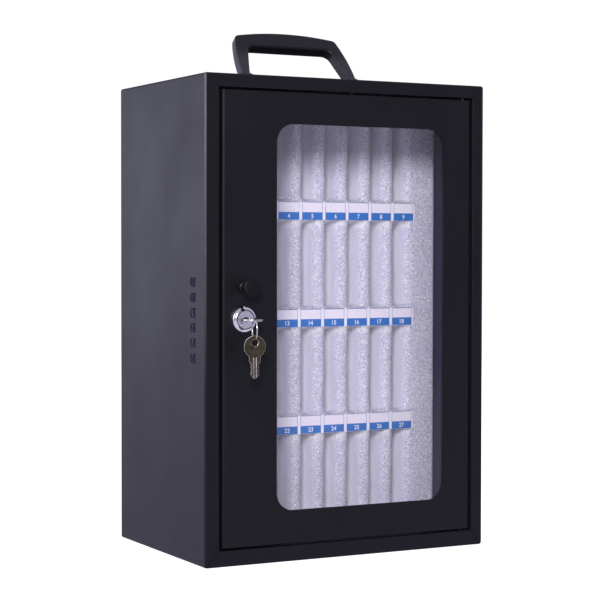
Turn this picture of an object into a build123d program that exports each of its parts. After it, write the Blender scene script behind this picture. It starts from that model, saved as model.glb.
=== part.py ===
"""Locker box: a folded steel cabinet with a glazed door, a cam lock and four rows of foam slots.

Millimetres. The origin is the centre of the cabinet's underside. +X is to the right of someone who
faces the door, +Y runs from the door to the back, and +Z is up. The door is shut, the lock is
unlocked, the key is in the lock and the carrying handle leans back, as the box stands in use.
"""
import os
from math import atan2, cos, degrees, hypot, radians, sin, sqrt

from build123d import *

os.makedirs("parts", exist_ok=True)

# ---- cabinet: one folded wrapper and a back pan
cabinet_width = 300.0
cabinet_depth = 200.0
cabinet_height = 450.0
sheet = 1.0
long_bend = 2.5
rim_bend = 1.5
rim_left = 14.3
rim_right = 12.4
rim_top = 12.4
rim_bottom = 14.6
stop_lip_overlap = 3.0
mitre_width = 0.8
mitre_depth = 0.5
back_flange = 12.0
wall_hole_radius = 3.5
wall_hole_spacing = 200.0
wall_hole_drop = 10.5

# ---- louvres in both side walls
louvre_count = 6
louvre_length = 15.6
louvre_height = 8.8
louvre_pitch = 14.0
louvre_inset = 16.6
louvre_push = 2.3
louvre_kerf = 0.25

# ---- door: one folded pan with a window
door_gap = 1.8
door_side_gap = 3.4
door_pan_depth = 12.0
door_bend = 2.0
door_corner = 1.0
door_stop_gap = 0.5
window_left_margin = 55.4
window_right_margin = 29.6
window_top_margin = 29.9
window_bottom_margin = 31.4
window_corner = 17.0
pane_thickness = 2.0
pane_overlap = 9.0
pane_corner = 10.0

# ---- pivot hinge
hinge_from_edge = 5.5
hinge_from_front = 5.5
hinge_pin_radius = 1.5
hinge_collar_radius = 2.1
hinge_head_radius = 2.6
hinge_head_height = 1.0
hinge_spigot_reach = 5.0
running_gap = 0.05

# ---- pane clips, their studs and nuts
clip_width = 10.0
clip_sheet = 1.0
clip_tongue = 6.0
clip_base = 10.6
clip_clearance = 0.4
clip_from_window_top = 50.0
clip_from_window_side = 36.6
stud_radius = 1.5
stud_length = 6.0
nut_across_flats = 5.5
nut_height = 2.4

# ---- cam lock
lock_from_edge = 21.0
lock_above_middle = 1.0
lock_bezel_radius = 12.4
lock_bezel_edge = 0.8
lock_bezel_height = 5.0
lock_bezel_swell = 0.5
lock_bezel_swell_height = 3.6
lock_face_radius = 9.2
lock_barrel_radius = 9.0
lock_barrel_length = 14.0
lock_notch_width = 3.2
lock_notch_depth = 3.2
lock_notch_out = 0.6
lock_notch_angle = 98.0
plug_head_radius = 8.3
plug_head_depth = 3.0
plug_body_radius = 6.0
plug_proud = 0.5
plug_chamfer = 0.4
plug_tail_side = 6.0
lock_nut_across_flats = 22.0
lock_nut_height = 4.0
cam_thickness = 2.0
cam_reach = 22.5
cam_hub_radius = 8.0
cam_tip_width = 12.0
cam_tip_corner = 3.0
cam_clearance = 0.5
cam_screw_radius = 1.9
cam_screw_head_radius = 3.6
cam_screw_head_height = 1.8
cam_screw_grip = 3.6

# ---- pull knob
knob_above_lock = 29.6
knob_head_radius = 8.5
knob_head_height = 4.6
knob_neck_radius = 4.0
knob_foot_radius = 5.5
knob_foot_height = 3.0
knob_foot_slope = 1.0
knob_length = 20.5
knob_crown = 1.0
knob_rounding = 1.2
knob_screw_radius = 2.0
knob_screw_head_radius = 3.6
knob_screw_head_height = 2.0
knob_screw_grip = 9.0

# ---- keys and their ring
key_thickness = 1.8
key_bow_radius = 10.0
key_hole_radius = 3.3
key_hole_from_end = 6.4
key_length = 39.0
key_blade_width = 7.8
key_shoulder_width = 10.6
key_shoulder_length = 4.0
key_tip_length = 3.4
key_tip_width = 1.2
key_cut_floor = 1.2
key_cuts = ((6.0, 0.6), (9.0, 0.9), (12.0, 0.6))
key_groove_offsets = (-1.2, 1.4)
key_groove_width = 0.9
key_groove_depth = 0.5
key_standoff = 1.5
keyway_clearance = 0.15
key_tip_gap = 0.3
ring_radius = 9.9
ring_wire_radius = 0.75
ring_rest_gap = 0.25
ring_heading = 13.4
ring_shift = 0.3

# ---- carrying handle and the angles that it turns on
handle_pivot_height = 6.6
handle_behind_middle = 2.9
handle_lean = 38.3
handle_half_span_foot = 63.2
handle_splay = 7.2
handle_foot_reach = 4.9
handle_crown_reach = 60.0
handle_shoulder_reach = 54.0
handle_inner_reach = 39.7
handle_thickness = 11.8
handle_foot_width = 8.8
handle_shoulder_width = 10.0
handle_outer_corner = 5.5
handle_inner_corner = 8.0
handle_foot_corner = 6.0
handle_rounding = 2.3
clevis_sheet = 1.2
clevis_side_gap = 0.4
clevis_radius = 5.4
clevis_tab = 9.4
clevis_tab_corner = 2.0
handle_pin_radius = 2.0
handle_pin_head_radius = 3.2
handle_pin_head_height = 1.0
rivet_radius = 1.6
rivet_head_radius = 3.0
rivet_head_height = 1.4
rivet_head_taper = 30.0
rivet_tail_radius = 2.6
rivet_tail_height = 1.0

# ---- foam insert: four rows of nine upright slots
slot_columns = 9
slot_rows = 4
slot_width = 9.0
slot_height = 83.5
first_slot_bottom = 22.6
foam_left_margin = 41.3
foam_right_margin = 38.3
foam_front_setback = 84.0
foam_backing_thickness = 15.0
foam_top_shelf = 7.0
space_above_foam = 20.2
foam_wall_gap = 0.3
rib_nose = 8.0

# ---- number strips under each row of slots
strip_height = 17.8
strip_thickness = 0.4
strip_below_slot = 1.5
strip_shift = 1.6
first_row_extra_shift = 1.5

# ---- how close an edge or corner must lie to be picked by its place, and how far a cut runs past
pick_tolerance = 0.1
cut_margin = 1.0

# ---- places worked out from the sizes above
front_y = -cabinet_depth / 2
back_y = cabinet_depth / 2
middle_z = cabinet_height / 2
opening_width = cabinet_width - rim_left - rim_right
opening_height = cabinet_height - rim_bottom - rim_top
opening_x = (rim_left - rim_right) / 2
opening_z = middle_z + (rim_bottom - rim_top) / 2
opening_left = opening_x - opening_width / 2
door_width = opening_width - 2 * door_side_gap
door_height = opening_height - 2 * door_gap
door_left = opening_x - door_width / 2
door_right = opening_x + door_width / 2
door_bottom = opening_z - door_height / 2
door_inside_y = front_y + sheet
return_depth = door_pan_depth + door_stop_gap + sheet
window_width = door_width - window_left_margin - window_right_margin
window_height = door_height - window_top_margin - window_bottom_margin
window_x = door_left + window_left_margin + window_width / 2
window_z = door_bottom + window_bottom_margin + window_height / 2
clip_spread_z = window_height / 2 - clip_from_window_top
clip_spread_x = window_width / 2 - clip_from_window_side
hinge_x = door_right - hinge_from_edge
hinge_y = front_y + hinge_from_front
jamb_bottom = opening_z - opening_height / 2
jamb_top = opening_z + opening_height / 2
lock_x = door_left + lock_from_edge
lock_z = middle_z + lock_above_middle
knob_z = lock_z + knob_above_lock
cam_front_y = front_y + lock_barrel_length + cam_clearance
cam_back_y = cam_front_y + cam_thickness
foam_front_y = front_y + foam_front_setback
foam_back_y = back_y - sheet
foam_slot_end_y = foam_back_y - foam_backing_thickness
slot_depth = foam_slot_end_y - foam_front_y
foam_half_width = cabinet_width / 2 - sheet - foam_wall_gap
slots_x = (foam_left_margin - foam_right_margin) / 2
slots_across = 2 * foam_half_width - foam_left_margin - foam_right_margin
slot_pitch_x = (slots_across - slot_width) / (slot_columns - 1)
foam_top = cabinet_height - sheet - space_above_foam
highest_slot_bottom = foam_top - foam_top_shelf - slot_height
slot_pitch_z = (highest_slot_bottom - first_slot_bottom) / (slot_rows - 1)
slot_bottoms = [first_slot_bottom + row * slot_pitch_z for row in range(slot_rows)]
pivot_z = cabinet_height + handle_pivot_height
handle_foot_inner = handle_half_span_foot - handle_foot_width
clevis_inner_x = handle_foot_inner - clevis_side_gap - clevis_sheet
clevis_outer_x = handle_half_span_foot + clevis_side_gap + clevis_sheet
rivet_places = [
    (side * x, handle_behind_middle)
    for side in (-1, 1)
    for x in (clevis_inner_x - clevis_tab / 2, clevis_outer_x + clevis_tab / 2)
]


def upright(y):
    """The upright plane at this depth: local x is +X, local y is +Z, and it faces the door side."""
    return Plane.XZ.offset(-y)


def turned(x, y, z):
    """A plane for a shape that is turned about a line along Y: local x is the radius and local y
    runs out of the door's face, towards whoever opens it."""
    return Plane(origin=(x, y, z), x_dir=(1, 0, 0), z_dir=(0, 0, -1))


def facing_out(x, y, z):
    """The axis that a turned shape goes round."""
    return Axis((x, y, z), (0, -1, 0))


# ---------------------------------------------------------------- cabinet wrapper
with BuildPart() as body_shell:
    with BuildSketch(upright(back_y)):
        with Locations((0, middle_z)):
            RectangleRounded(cabinet_width, cabinet_height, long_bend)
            RectangleRounded(
                cabinet_width - 2 * sheet,
                cabinet_height - 2 * sheet,
                long_bend - sheet,
                mode=Mode.SUBTRACT,
            )
    extrude(amount=cabinet_depth)
    with BuildSketch(upright(front_y)):
        with Locations((0, middle_z)):
            RectangleRounded(cabinet_width, cabinet_height, long_bend)
        with Locations((opening_x, opening_z)):
            Rectangle(opening_width, opening_height, mode=Mode.SUBTRACT)
    extrude(amount=-sheet)
    # the rim turns in around the opening, as a return that the hinge pins pass through
    with BuildSketch(upright(front_y)):
        with Locations((opening_x, opening_z)):
            Rectangle(opening_width + 2 * sheet, opening_height + 2 * sheet)
            Rectangle(opening_width, opening_height, mode=Mode.SUBTRACT)
    extrude(amount=-return_depth)
    front_face = body_shell.faces().sort_by(Axis.Y)[0]
    fillet(front_face.outer_wire().edges(), rim_bend)
    front_face = body_shell.faces().sort_by(Axis.Y)[0]
    fillet(front_face.inner_wires()[0].edges(), sheet / 2)
    # the left return ends in a lip that stops the door and takes the lock's cam
    with BuildSketch(upright(front_y + return_depth)):
        with Locations((opening_left - sheet, opening_z)):
            Rectangle(
                sheet + door_side_gap + stop_lip_overlap,
                opening_height,
                align=(Align.MIN, Align.CENTER),
            )
    extrude(amount=sheet)
    # mitre lines run from the opening's corners to the cabinet's corners, and past both
    with BuildSketch(upright(front_y)):
        for side in (-1, 1):
            for end in (-1, 1):
                outer_x = side * cabinet_width / 2
                outer_z = middle_z + end * cabinet_height / 2
                inner_x = opening_x + side * opening_width / 2
                inner_z = opening_z + end * opening_height / 2
                mitre_turn = degrees(atan2(outer_z - inner_z, outer_x - inner_x))
                mitre_length = hypot(outer_x - inner_x, outer_z - inner_z) + 2 * cut_margin
                with Locations(((outer_x + inner_x) / 2, (outer_z + inner_z) / 2)):
                    Rectangle(mitre_length, mitre_width, rotation=mitre_turn)
    extrude(amount=-mitre_depth, mode=Mode.SUBTRACT)
    # louvres: a window is cut, and its tongue is pushed in at the rear end
    louvre_tilt = louvre_push / louvre_length
    tongue_end = louvre_height / 2
    for side in (-1, 1):
        louvre_origin = (side * cabinet_width / 2, front_y + louvre_inset, middle_z)
        wall_plane = Plane(origin=louvre_origin, x_dir=(0, 1, 0), z_dir=(side, 0, 0))
        with BuildSketch(wall_plane):
            with GridLocations(0, louvre_pitch, 1, louvre_count):
                Rectangle(
                    louvre_length - tongue_end, louvre_height, align=(Align.MIN, Align.CENTER)
                )
                with Locations((louvre_length - tongue_end, 0)):
                    Circle(tongue_end)
        extrude(amount=-sheet, mode=Mode.SUBTRACT)
        tongue_plane = Plane(
            origin=louvre_origin,
            x_dir=(-side * sin(louvre_tilt), cos(louvre_tilt), 0),
            z_dir=(side * cos(louvre_tilt), sin(louvre_tilt), 0),
        )
        with BuildSketch(tongue_plane):
            with GridLocations(0, louvre_pitch, 1, louvre_count):
                Rectangle(
                    louvre_length - tongue_end,
                    louvre_height - 2 * louvre_kerf,
                    align=(Align.MIN, Align.CENTER),
                )
                with Locations((louvre_length - tongue_end, 0)):
                    Circle(tongue_end - louvre_kerf)
        extrude(amount=-sheet)
    # holes for the hinge pins and for the rivets of the handle's angles
    with BuildSketch(Plane.XY.offset(jamb_bottom - sheet)):
        with Locations((hinge_x, hinge_y)):
            Circle(hinge_pin_radius + running_gap)
    extrude(amount=sheet, mode=Mode.SUBTRACT)
    with BuildSketch(Plane.XY.offset(jamb_top)):
        with Locations((hinge_x, hinge_y)):
            Circle(hinge_pin_radius + running_gap)
    extrude(amount=sheet, mode=Mode.SUBTRACT)
    with BuildSketch(Plane.XY.offset(cabinet_height - sheet)):
        with Locations(rivet_places):
            Circle(rivet_radius + running_gap)
    extrude(amount=sheet, mode=Mode.SUBTRACT)
body_shell.part.label = "body_shell"
export_step(body_shell.part, "parts/body_shell.step")

# ---------------------------------------------------------------- back pan with two wall holes
pan_width = cabinet_width - 2 * sheet
pan_height = cabinet_height - 2 * sheet
pan_corner = long_bend - sheet
with BuildPart() as back_panel:
    with BuildSketch(upright(back_y)):
        with Locations((0, middle_z)):
            RectangleRounded(pan_width, pan_height, pan_corner)
    extrude(amount=back_flange)
    with BuildSketch(upright(back_y - sheet)):
        with Locations((0, middle_z)):
            Rectangle(pan_width - 2 * sheet, pan_height - 2 * sheet)
    extrude(amount=back_flange, mode=Mode.SUBTRACT)
    with BuildSketch(upright(back_y)):
        with Locations((0, cabinet_height - wall_hole_drop)):
            with GridLocations(wall_hole_spacing, 0, 2, 1):
                Circle(wall_hole_radius)
    extrude(amount=sheet, mode=Mode.SUBTRACT)
back_panel.part.label = "back_panel"
export_step(back_panel.part, "parts/back_panel.step")

# ---------------------------------------------------------------- hinge pins, riveted to the returns
for pin_name, jamb_z, into_door in (
    ("hinge_pin_bottom", jamb_bottom, 1),
    ("hinge_pin_top", jamb_top, -1),
):
    with BuildPart() as hinge_pin:
        # the profile's x is the radius and its y runs from the return into the door
        pin_plane = Plane(
            origin=(hinge_x, hinge_y, jamb_z), x_dir=(1, 0, 0), z_dir=(0, -into_door, 0)
        )
        collar_end = door_gap - running_gap
        with BuildSketch(pin_plane):
            with BuildLine():
                Polyline(
                    (0, -sheet - hinge_head_height),
                    (hinge_head_radius, -sheet - hinge_head_height),
                    (hinge_head_radius, -sheet),
                    (hinge_pin_radius, -sheet),
                    (hinge_pin_radius, 0),
                    (hinge_collar_radius, 0),
                    (hinge_collar_radius, collar_end),
                    (hinge_pin_radius, collar_end),
                    (hinge_pin_radius, door_gap + hinge_spigot_reach),
                    (0, door_gap + hinge_spigot_reach),
                    close=True,
                )
            make_face()
        revolve(axis=Axis((hinge_x, hinge_y, jamb_z), (0, 0, 1)))
    hinge_pin.part.label = pin_name
    export_step(hinge_pin.part, f"parts/{pin_name}.step")

# ---------------------------------------------------------------- four angles that hold the handle
with BuildPart() as handle_brackets:
    for side in (-1, 1):
        for outer_face, away in ((clevis_inner_x, -1), (clevis_outer_x, 1)):
            # away is +1 for the outer angle of a foot and -1 for its inner one
            foot_face = outer_face - away * clevis_sheet
            tab_end = outer_face + away * clevis_tab
            with BuildSketch(Plane.XY.offset(cabinet_height)):
                with Locations((side * (foot_face + tab_end) / 2, handle_behind_middle)):
                    Rectangle(abs(tab_end - foot_face), 2 * clevis_radius)
            extrude(amount=clevis_sheet)
            ear_start = min(side * foot_face, side * outer_face)
            with BuildSketch(Plane.YZ.offset(ear_start)):
                with Locations((handle_behind_middle, cabinet_height)):
                    Rectangle(
                        2 * clevis_radius, handle_pivot_height, align=(Align.CENTER, Align.MIN)
                    )
                with Locations((handle_behind_middle, pivot_z)):
                    Circle(clevis_radius)
                    Circle(handle_pin_radius + running_gap, mode=Mode.SUBTRACT)
            extrude(amount=clevis_sheet)
            bend_x = side * foot_face
            end_x = side * tab_end
            bend_edges = (
                handle_brackets.edges()
                .filter_by(Axis.Y)
                .filter_by(lambda edge: abs(edge.center().X - bend_x) < pick_tolerance)
            )
            fillet(bend_edges, clevis_sheet / 2)
            tab_corners = (
                handle_brackets.edges()
                .filter_by(Axis.Z)
                .filter_by(lambda edge: abs(edge.center().X - end_x) < pick_tolerance)
            )
            fillet(tab_corners, clevis_tab_corner)
    with BuildSketch(Plane.XY.offset(cabinet_height)):
        with Locations(rivet_places):
            Circle(rivet_radius + running_gap)
    extrude(amount=clevis_sheet, mode=Mode.SUBTRACT)
handle_brackets.part.label = "handle_brackets"
export_step(handle_brackets.part, "parts/handle_brackets.step")

with BuildPart() as handle_pins:
    for side in (-1, 1):
        shank_start = min(side * clevis_inner_x, side * clevis_outer_x)
        shank_length = clevis_outer_x - clevis_inner_x
        with BuildSketch(Plane.YZ.offset(shank_start)):
            with Locations((handle_behind_middle, pivot_z)):
                Circle(handle_pin_radius)
        extrude(amount=shank_length)
        for head_start in (shank_start - handle_pin_head_height, shank_start + shank_length):
            with BuildSketch(Plane.YZ.offset(head_start)):
                with Locations((handle_behind_middle, pivot_z)):
                    Circle(handle_pin_head_radius)
            extrude(amount=handle_pin_head_height)
handle_pins.part.label = "handle_pins"
export_step(handle_pins.part, "parts/handle_pins.step")

with BuildPart() as bracket_rivets:
    rivet_bottom = cabinet_height - sheet - rivet_tail_height
    with BuildSketch(Plane.XY.offset(rivet_bottom)):
        with Locations(rivet_places):
            Circle(rivet_tail_radius)
    extrude(amount=rivet_tail_height)
    with BuildSketch(Plane.XY.offset(cabinet_height - sheet)):
        with Locations(rivet_places):
            Circle(rivet_radius)
    extrude(amount=sheet + clevis_sheet)
    with BuildSketch(Plane.XY.offset(cabinet_height + clevis_sheet)):
        with Locations(rivet_places):
            Circle(rivet_head_radius)
    extrude(amount=rivet_head_height, taper=rivet_head_taper)
bracket_rivets.part.label = "bracket_rivets"
export_step(bracket_rivets.part, "parts/bracket_rivets.step")

# ---------------------------------------------------------------- carrying handle
lean = radians(handle_lean)
handle_plane = Plane(
    origin=(0, handle_behind_middle, pivot_z), x_dir=(1, 0, 0), z_dir=(0, -cos(lean), sin(lean))
)
handle_side_plane = Plane(
    origin=(0, handle_behind_middle, pivot_z), x_dir=(0, -cos(lean), sin(lean)), z_dir=(-1, 0, 0)
)
eye_radius = handle_thickness / 2
shoulder_x = handle_half_span_foot - handle_splay
shoulder_inner = shoulder_x - handle_shoulder_width
with BuildPart() as handle_grip:
    # the loop seen square on: the crown is a shallow arc and each leg bows out from its foot
    with BuildSketch(handle_plane) as loop:
        with BuildLine():
            ThreePointArc(
                (-shoulder_x, handle_shoulder_reach),
                (0, handle_crown_reach),
                (shoulder_x, handle_shoulder_reach),
            )
            for side in (-1, 1):
                TangentArc(
                    (side * handle_half_span_foot, handle_foot_reach),
                    (side * shoulder_x, handle_shoulder_reach),
                    tangent=(0, 1),
                )
            Polyline(
                (handle_half_span_foot, handle_foot_reach),
                (handle_half_span_foot, -eye_radius),
                (handle_foot_inner, -eye_radius),
                (handle_foot_inner, handle_foot_reach),
                (shoulder_inner, handle_inner_reach),
                (-shoulder_inner, handle_inner_reach),
                (-handle_foot_inner, handle_foot_reach),
                (-handle_foot_inner, -eye_radius),
                (-handle_half_span_foot, -eye_radius),
                (-handle_half_span_foot, handle_foot_reach),
            )
        make_face()
        for reach, across, corner_radius in (
            (handle_shoulder_reach, shoulder_x, handle_outer_corner),
            (handle_inner_reach, shoulder_inner, handle_inner_corner),
            (handle_foot_reach, handle_foot_inner, handle_foot_corner),
        ):
            corners = loop.vertices().filter_by(
                lambda corner: abs(corner.Y - reach) < pick_tolerance
                and abs(abs(corner.X) - across) < pick_tolerance
            )
            fillet(corners, corner_radius)
    extrude(amount=handle_thickness / 2, both=True)
    fillet(handle_grip.faces().filter_by(handle_plane).edges(), handle_rounding)
    # seen from the side, each foot ends in a round eye about the pivot
    with BuildSketch(handle_side_plane):
        Circle(eye_radius)
        Rectangle(handle_thickness, 2 * handle_crown_reach, align=(Align.CENTER, Align.MIN))
    extrude(amount=handle_half_span_foot + cut_margin, both=True, mode=Mode.INTERSECT)
    with BuildSketch(Plane.YZ):
        with Locations((handle_behind_middle, pivot_z)):
            Circle(handle_pin_radius + running_gap)
    extrude(amount=handle_half_span_foot + cut_margin, both=True, mode=Mode.SUBTRACT)
handle_grip.part.label = "handle_grip"
export_step(handle_grip.part, "parts/handle_grip.step")

# ---------------------------------------------------------------- foam: backing, shelves and ribs
with BuildPart() as foam_backing:
    with BuildSketch(upright(foam_slot_end_y)):
        with Locations((0, 2 * sheet)):
            Rectangle(
                2 * (foam_half_width - sheet),
                foam_top - 2 * sheet,
                align=(Align.CENTER, Align.MIN),
            )
    extrude(amount=-foam_backing_thickness)
foam_backing.part.label = "foam_backing"
export_step(foam_backing.part, "parts/foam_backing.step")

with BuildPart() as foam_shelves:
    shelf_spans = [(sheet, slot_bottoms[0])]
    for lower, upper in zip(slot_bottoms[:-1], slot_bottoms[1:]):
        shelf_spans.append((lower + slot_height, upper))
    shelf_spans.append((slot_bottoms[-1] + slot_height, foam_top))
    for shelf_bottom, shelf_top in shelf_spans:
        with BuildSketch(Plane.XY.offset(shelf_bottom)):
            with Locations((0, foam_front_y)):
                Rectangle(2 * foam_half_width, slot_depth, align=(Align.CENTER, Align.MIN))
        extrude(amount=shelf_top - shelf_bottom)
    # the lowest shelf is trimmed to clear the wrapper's long folds
    fillet(foam_shelves.edges().filter_by(Axis.Y).group_by(Axis.Z)[0], long_bend)
foam_shelves.part.label = "foam_shelves"
export_step(foam_shelves.part, "parts/foam_shelves.step")

for row, slot_bottom in enumerate(reversed(slot_bottoms), start=1):
    row_name = f"foam_ribs_row_{row}"
    with BuildPart() as foam_ribs:
        rib_width = slot_pitch_x - slot_width
        with BuildSketch(Plane.XY.offset(slot_bottom)) as rib_plan:
            with Locations((slots_x, foam_front_y)):
                with GridLocations(slot_pitch_x, 0, slot_columns - 1, 1):
                    Rectangle(rib_width, slot_depth, align=(Align.CENTER, Align.MIN))
            with Locations((-foam_half_width, foam_front_y)):
                Rectangle(foam_left_margin, slot_depth, align=(Align.MIN, Align.MIN))
            with Locations((foam_half_width, foam_front_y)):
                Rectangle(foam_right_margin, slot_depth, align=(Align.MAX, Align.MIN))
            nose_points = (
                rib_plan.vertices()
                .filter_by(lambda corner: abs(corner.Y - foam_front_y) < pick_tolerance)
                .filter_by(lambda corner: abs(corner.X) < foam_half_width - pick_tolerance)
            )
            fillet(nose_points, rib_nose)
        extrude(amount=slot_height)
    foam_ribs.part.label = row_name
    export_step(foam_ribs.part, f"parts/{row_name}.step")

# ---------------------------------------------------------------- number strips
strip_width = slot_columns * slot_pitch_x
for row, slot_bottom in enumerate(reversed(slot_bottoms), start=1):
    row_name = f"label_strip_row_{row}"
    strip_x = slots_x + strip_shift + (first_row_extra_shift if row == 1 else 0)
    with BuildPart() as label_strip:
        with BuildSketch(upright(foam_front_y)):
            with Locations((strip_x, slot_bottom - strip_below_slot)):
                Rectangle(strip_width, strip_height, align=(Align.CENTER, Align.MAX))
        extrude(amount=strip_thickness)
    label_strip.part.label = row_name
    export_step(label_strip.part, f"parts/{row_name}.step")

# ---------------------------------------------------------------- door pan
pane_left = window_x - window_width / 2 - pane_overlap
pane_right = window_x + window_width / 2 + pane_overlap
pane_bottom = window_z - window_height / 2 - pane_overlap
pane_top = window_z + window_height / 2 + pane_overlap
clip_places = []
for end in (-1, 1):
    clip_places.append((pane_left, window_z + end * clip_spread_z, 180))
    clip_places.append((pane_right, window_z + end * clip_spread_z, 0))
    clip_places.append((window_x + end * clip_spread_x, pane_bottom, -90))
    clip_places.append((window_x + end * clip_spread_x, pane_top, 90))
stud_offset = clip_clearance + clip_base / 2 + clip_sheet / 2
stud_places = [
    (x + stud_offset * cos(radians(turn)), z + stud_offset * sin(radians(turn)))
    for x, z, turn in clip_places
]

with BuildPart() as door_panel:
    with BuildSketch(upright(front_y)):
        with Locations((opening_x, opening_z)):
            RectangleRounded(door_width, door_height, door_corner)
    extrude(amount=-door_pan_depth)
    with BuildSketch(upright(door_inside_y)):
        with Locations((opening_x, opening_z)):
            Rectangle(door_width - 2 * sheet, door_height - 2 * sheet)
    extrude(amount=-door_pan_depth, mode=Mode.SUBTRACT)
    fillet(door_panel.faces().sort_by(Axis.Y)[0].outer_wire().edges(), door_bend)
    with BuildSketch(upright(front_y)):
        with Locations((window_x, window_z)):
            RectangleRounded(window_width, window_height, window_corner)
        with Locations((lock_x, lock_z)):
            Circle(lock_barrel_radius + running_gap)
        with Locations((lock_x, knob_z)):
            Circle(knob_screw_radius + running_gap)
    extrude(amount=-sheet, mode=Mode.SUBTRACT)
    # the hinge pins turn in holes through the top and bottom flanges
    with BuildSketch(Plane.XY.offset(door_bottom)):
        with Locations((hinge_x, hinge_y)):
            Circle(hinge_pin_radius + running_gap)
    extrude(amount=door_height, mode=Mode.SUBTRACT)
    # studs welded on for the pane clips
    with BuildSketch(upright(door_inside_y)):
        with Locations(stud_places):
            Circle(stud_radius)
    extrude(amount=-stud_length)
door_panel.part.label = "door_panel"
export_step(door_panel.part, "parts/door_panel.step")

with BuildPart() as window_pane:
    with BuildSketch(upright(door_inside_y)):
        with Locations((window_x, window_z)):
            RectangleRounded(
                window_width + 2 * pane_overlap, window_height + 2 * pane_overlap, pane_corner
            )
    extrude(amount=-pane_thickness)
window_pane.part.label = "window_pane"
export_step(window_pane.part, "parts/window_pane.step")

# each clip is a joggled strip: its foot is on the stud, and its tongue holds the pane
with BuildPart() as pane_clips:
    for x, z, turn in clip_places:
        outward = (cos(radians(turn)), 0, sin(radians(turn)))
        across = (-sin(radians(turn)), 0, cos(radians(turn)))
        clip_plane = Plane(origin=(x, door_inside_y, z), x_dir=outward, z_dir=across)
        with BuildSketch(clip_plane):
            with BuildLine():
                Polyline(
                    (clip_clearance, 0),
                    (clip_clearance + clip_base, 0),
                    (clip_clearance + clip_base, clip_sheet),
                    (clip_clearance + clip_sheet, clip_sheet),
                    (clip_clearance + clip_sheet, pane_thickness + clip_sheet),
                    (-clip_tongue, pane_thickness + clip_sheet),
                    (-clip_tongue, pane_thickness),
                    (clip_clearance, pane_thickness),
                    close=True,
                )
            make_face()
        extrude(amount=clip_width / 2, both=True)
    with BuildSketch(upright(door_inside_y)):
        with Locations(stud_places):
            Circle(stud_radius + running_gap)
    extrude(amount=-clip_sheet, mode=Mode.SUBTRACT)
pane_clips.part.label = "pane_clips"
export_step(pane_clips.part, "parts/pane_clips.step")

with BuildPart() as clip_nuts:
    with BuildSketch(upright(door_inside_y + clip_sheet)):
        with Locations(stud_places):
            RegularPolygon(nut_across_flats / 2, 6, major_radius=False)
            Circle(stud_radius + running_gap, mode=Mode.SUBTRACT)
    extrude(amount=-nut_height)
clip_nuts.part.label = "clip_nuts"
export_step(clip_nuts.part, "parts/clip_nuts.step")

# ---------------------------------------------------------------- pull knob and its screw
with BuildPart() as knob:
    with BuildSketch(turned(lock_x, front_y, knob_z)) as knob_profile:
        with BuildLine():
            head_start = knob_length - knob_head_height
            Polyline(
                (0, knob_screw_grip),
                (knob_screw_radius + running_gap, knob_screw_grip),
                (knob_screw_radius + running_gap, 0),
                (knob_foot_radius, 0),
                (knob_foot_radius, knob_foot_height),
                (knob_neck_radius, knob_foot_height + knob_foot_slope),
                (knob_neck_radius, head_start),
                (knob_head_radius, head_start),
                (knob_head_radius, knob_length - knob_crown),
            )
            RadiusArc(
                (knob_head_radius, knob_length - knob_crown),
                (0, knob_length),
                -(knob_head_radius**2 + knob_crown**2) / (2 * knob_crown),
            )
            Line((0, knob_length), (0, knob_screw_grip))
        make_face()
        rim_corners = knob_profile.vertices().group_by(Axis.X)[-1]
        fillet(rim_corners, knob_rounding)
    revolve(axis=facing_out(lock_x, front_y, knob_z))
knob.part.label = "knob"
export_step(knob.part, "parts/knob.step")

with BuildPart() as knob_screw:
    with BuildSketch(upright(door_inside_y)):
        with Locations((lock_x, knob_z)):
            Circle(knob_screw_head_radius)
    extrude(amount=-knob_screw_head_height)
    fillet(knob_screw.faces().sort_by(Axis.Y)[-1].edges(), knob_screw_head_height / 2)
    with BuildSketch(upright(door_inside_y)):
        with Locations((lock_x, knob_z)):
            Circle(knob_screw_radius)
    extrude(amount=sheet + knob_screw_grip - running_gap)
knob_screw.part.label = "knob_screw"
export_step(knob_screw.part, "parts/knob_screw.step")

# ---------------------------------------------------------------- cam lock
bore_step = lock_bezel_height - plug_head_depth
bezel_middle_radius = (lock_bezel_radius + lock_face_radius) / 2
with BuildPart() as lock_housing:
    with BuildSketch(turned(lock_x, front_y, lock_z)):
        with BuildLine():
            Polyline(
                (plug_body_radius + running_gap, -lock_barrel_length),
                (lock_barrel_radius, -lock_barrel_length),
                (lock_barrel_radius, 0),
                (lock_bezel_radius, 0),
                (lock_bezel_radius, lock_bezel_edge),
            )
            ThreePointArc(
                (lock_bezel_radius, lock_bezel_edge),
                (bezel_middle_radius + lock_bezel_swell, lock_bezel_swell_height),
                (lock_face_radius, lock_bezel_height),
            )
            Polyline(
                (lock_face_radius, lock_bezel_height),
                (plug_head_radius + running_gap, lock_bezel_height),
                (plug_head_radius + running_gap, bore_step),
                (plug_body_radius + running_gap, bore_step),
                (plug_body_radius + running_gap, -lock_barrel_length),
            )
        make_face()
    revolve(axis=facing_out(lock_x, front_y, lock_z))
    notch_radius = bezel_middle_radius + lock_notch_out
    notch_x = lock_x + notch_radius * cos(radians(lock_notch_angle))
    notch_z = lock_z + notch_radius * sin(radians(lock_notch_angle))
    with BuildSketch(upright(front_y - lock_bezel_height)):
        with Locations((notch_x, notch_z)):
            Rectangle(
                lock_bezel_radius - lock_face_radius, lock_notch_width, rotation=lock_notch_angle
            )
    extrude(amount=-lock_notch_depth, mode=Mode.SUBTRACT)
lock_housing.part.label = "lock_housing"
export_step(lock_housing.part, "parts/lock_housing.step")

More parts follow.
